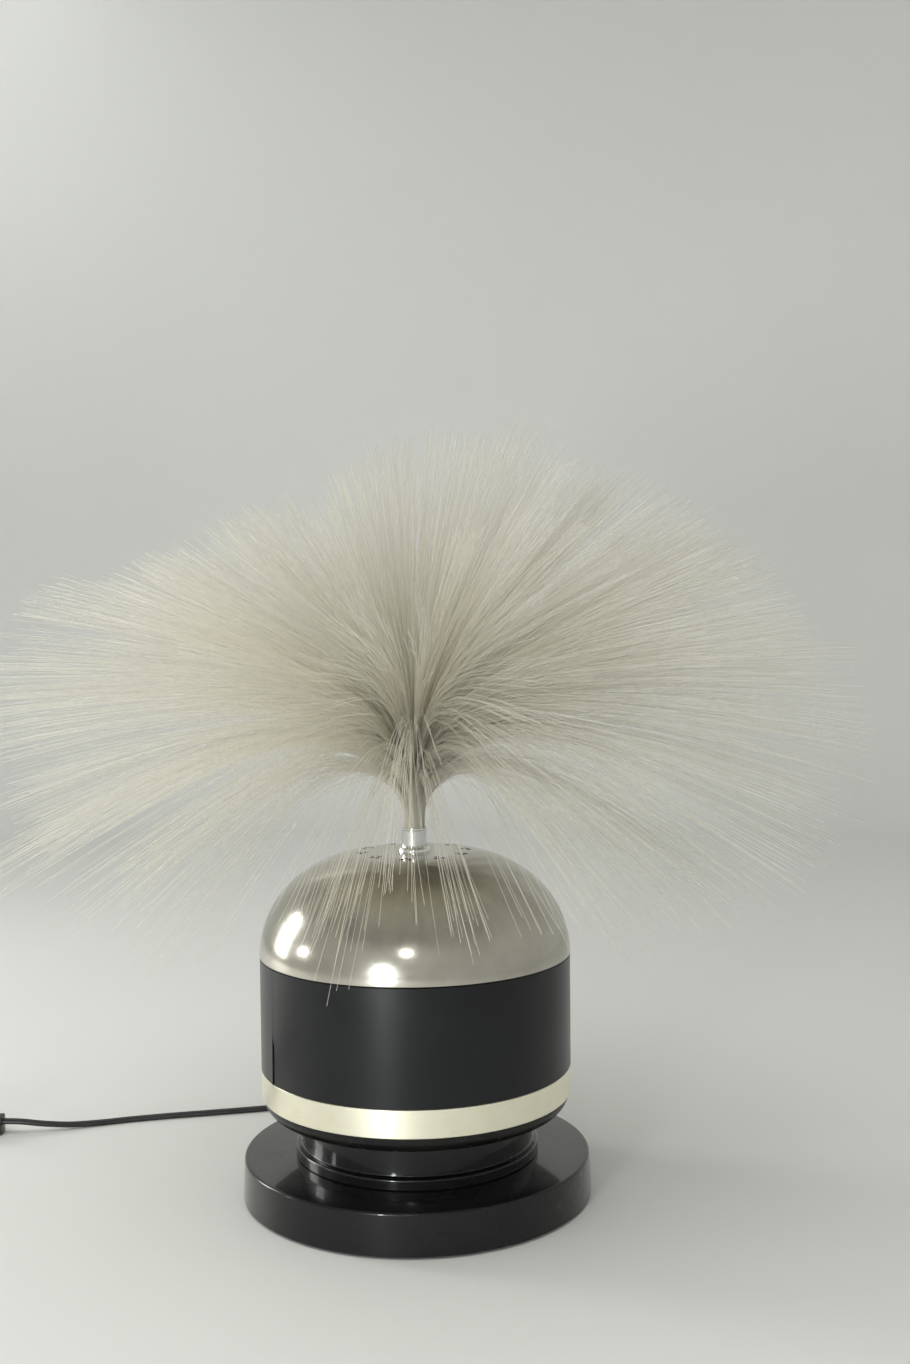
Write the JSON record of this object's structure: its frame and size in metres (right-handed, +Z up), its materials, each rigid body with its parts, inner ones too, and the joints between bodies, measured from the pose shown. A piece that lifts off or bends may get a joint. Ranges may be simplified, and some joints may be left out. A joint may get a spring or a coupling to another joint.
{
  "type": "fibre optic lamp",
  "caption": "Vintage fibre optic fountain lamp: a wide spray of pale fibres above a nickel dome, black wrapped drum with gold band and black disc base, with cord, switch and plug.",
  "frame": {"origin": "lamp axis where the rubber feet touch the table", "axes": "+Z up along the lamp's axis through base, body, dome and spray; -Y is the front; the cord leaves at +Y and runs towards -X"},
  "size_m": [0.6907, 0.5242, 0.4394],
  "materials": {
    "gloss_black": "gloss",
    "wrap": "satin",
    "gold": "satin",
    "nickel": "polished",
    "chrome": "polished",
    "can_paint": "satin",
    "zinc": "satin",
    "brass": "satin",
    "rubber": "matte",
    "chassis": "satin",
    "bakelite": "gloss",
    "bulb_glass": "clear",
    "tungsten": "satin",
    "spider": "satin",
    "film_red": "gloss",
    "film_amber": "gloss",
    "film_green": "gloss",
    "film_blue": "gloss",
    "nylon": "matte",
    "lead_blue": "satin",
    "lead_brown": "satin",
    "cord": "satin",
    "fibre": "gloss"
  },
  "bodies": {
    "lamp": {"base_disc": "gloss_black", "base_plate": "zinc", "base_screws": "zinc", "rubber_feet": "rubber", "neck": "gloss_black", "centre_tube": "brass", "tube_washers": "zinc", "tube_nuts": "zinc", "body_can": "can_paint", "body_wrap": "wrap", "gold_band": "gold", "chassis_plate": "chassis", "chassis_spacers": "zinc", "chassis_screws": "zinc", "chassis_nuts": "zinc", "lampholder": "bakelite", "holder_nipple": "brass", "holder_nut": "zinc", "bulb_cap": "brass", "bulb_glass": "bulb_glass", "bulb_filament": "tungsten", "light_shield": "chassis", "motor_bracket": "chassis", "panel_screws": "zinc", "motor_case": "zinc", "motor_cover": "zinc", "output_bush": "brass", "motor_screws": "zinc", "terminal_block": "nylon", "terminal_screws": "brass", "lamp_leads": "lead_blue", "motor_leads": "lead_brown", "inner_lead": "cord", "cord_clamp": "nylon", "cord_bush": "cord", "cord_to_switch": "cord", "switch_base": "gloss_black", "switch_cover": "gloss_black", "rocker_pin": "zinc", "switch_screws": "zinc", "cord_to_coil": "cord", "cord_coil": "cord", "cord_tie": "cord", "plug_cord": "cord", "plug_body": "cord", "plug_pins": "chrome"},
    "colour_wheel": {"drive_shaft": "zinc", "wheel_spider": "spider", "hub_screw": "zinc", "filter_red": "film_red", "filter_amber": "film_amber", "filter_green": "film_green", "filter_blue": "film_blue"},
    "dome_unit": {"dome": "nickel", "collar": "chrome", "collar_nut": "zinc"},
    "spray_unit": {"bundle_sleeve": "brass", "fibre_spray": "fibre"},
    "rocker": {"switch_rocker": "gloss_black"}
  },
  "joints": [
    {"name": "wheel_spin", "type": "hinge", "parent": "lamp", "child": "colour_wheel", "pos_m": [0.032, 0, 0.174], "axis": [0, 0, 1], "continuous": true},
    {"name": "dome_lift", "type": "slide", "parent": "lamp", "child": "dome_unit", "axis": [0, 0, 1], "range_m": [0, 0.06]},
    {"name": "spray_lift", "type": "slide", "parent": "dome_unit", "child": "spray_unit", "axis": [0, 0, 1], "range_m": [0, 0.035]},
    {"name": "rocker_tip", "type": "hinge", "parent": "lamp", "child": "rocker", "pos_m": [-0.304, 0.108, 0.013], "axis": [0, -1, 0], "range_deg": [0, 16]}
  ]
}
